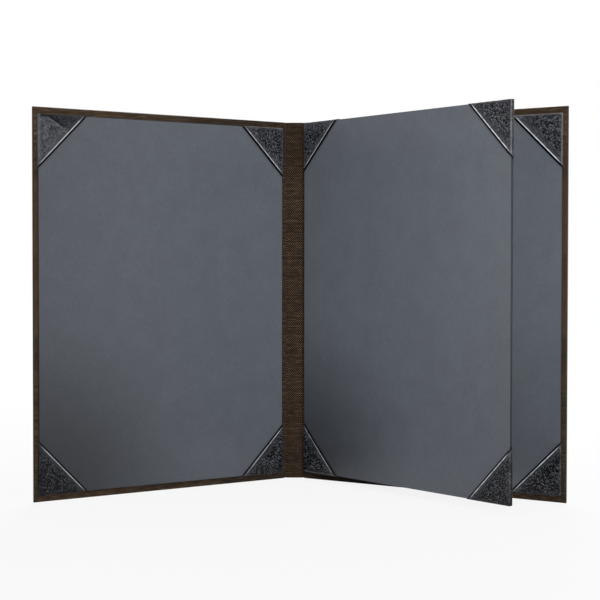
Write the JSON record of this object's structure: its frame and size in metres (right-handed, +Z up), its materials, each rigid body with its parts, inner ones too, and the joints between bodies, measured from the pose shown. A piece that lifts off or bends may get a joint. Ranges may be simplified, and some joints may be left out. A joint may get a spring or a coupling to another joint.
{
  "type": "menu cover",
  "caption": "Stiff cloth-covered menu cover standing open, with smooth liner panels held by leatherette corner pockets and a hinged two-sided leaf.",
  "frame": {"origin": "centre of the spine's bottom face, which the cover stands on", "axes": "+X towards the back cover (the reader's right), +Y away from the reader, +Z up along the spine"},
  "size_m": [0.3996, 0.1879, 0.296],
  "materials": {
    "case_cloth": "matte woven",
    "greyboard": "matte",
    "liner_card": "satin",
    "leatherette": "pebbled satin"
  },
  "bodies": {
    "spine": {"spine_cloth": "case_cloth", "spine_card": "greyboard", "spine_lining": "case_cloth"},
    "front_cover": {"front_cover_cloth": "case_cloth", "front_cover_board": "greyboard", "front_hinge_lining": "case_cloth", "front_panel": "liner_card", "front_lower_hinge_corner": "leatherette", "front_upper_hinge_corner": "leatherette", "front_lower_outer_corner": "leatherette", "front_upper_outer_corner": "leatherette"},
    "back_cover": {"back_cover_cloth": "case_cloth", "back_cover_board": "greyboard", "back_hinge_lining": "case_cloth", "back_panel": "liner_card", "back_lower_hinge_corner": "leatherette", "back_upper_hinge_corner": "leatherette", "back_lower_outer_corner": "leatherette", "back_upper_outer_corner": "leatherette", "leaf_hinge_tab": "case_cloth"},
    "leaf": {"leaf_hinge_strip": "case_cloth", "leaf_front_panel": "liner_card", "leaf_back_panel": "liner_card", "leaf_front_lower_hinge_corner": "leatherette", "leaf_front_upper_hinge_corner": "leatherette", "leaf_front_lower_outer_corner": "leatherette", "leaf_front_upper_outer_corner": "leatherette", "leaf_back_lower_hinge_corner": "leatherette", "leaf_back_upper_hinge_corner": "leatherette", "leaf_back_lower_outer_corner": "leatherette", "leaf_back_upper_outer_corner": "leatherette"}
  },
  "joints": [
    {"name": "front_cover_hinge", "type": "hinge", "parent": "spine", "child": "front_cover", "pos_m": [-0.00747, 0.00085, 0], "axis": [0, 0, 1], "range_deg": [-33, 57]},
    {"name": "back_cover_hinge", "type": "hinge", "parent": "spine", "child": "back_cover", "pos_m": [0.00747, 0.00085, 0], "axis": [0, 0, -1], "range_deg": [-34, 56]},
    {"name": "leaf_hinge", "type": "hinge", "parent": "back_cover", "child": "leaf", "pos_m": [0.00759, -0.00846, 0], "axis": [0, 0, 1], "range_deg": [-11, 18]}
  ],
  "couplings": [
    {"joint": "leaf_hinge", "follows": "front_cover_hinge", "ratio": 0.3157}
  ]
}
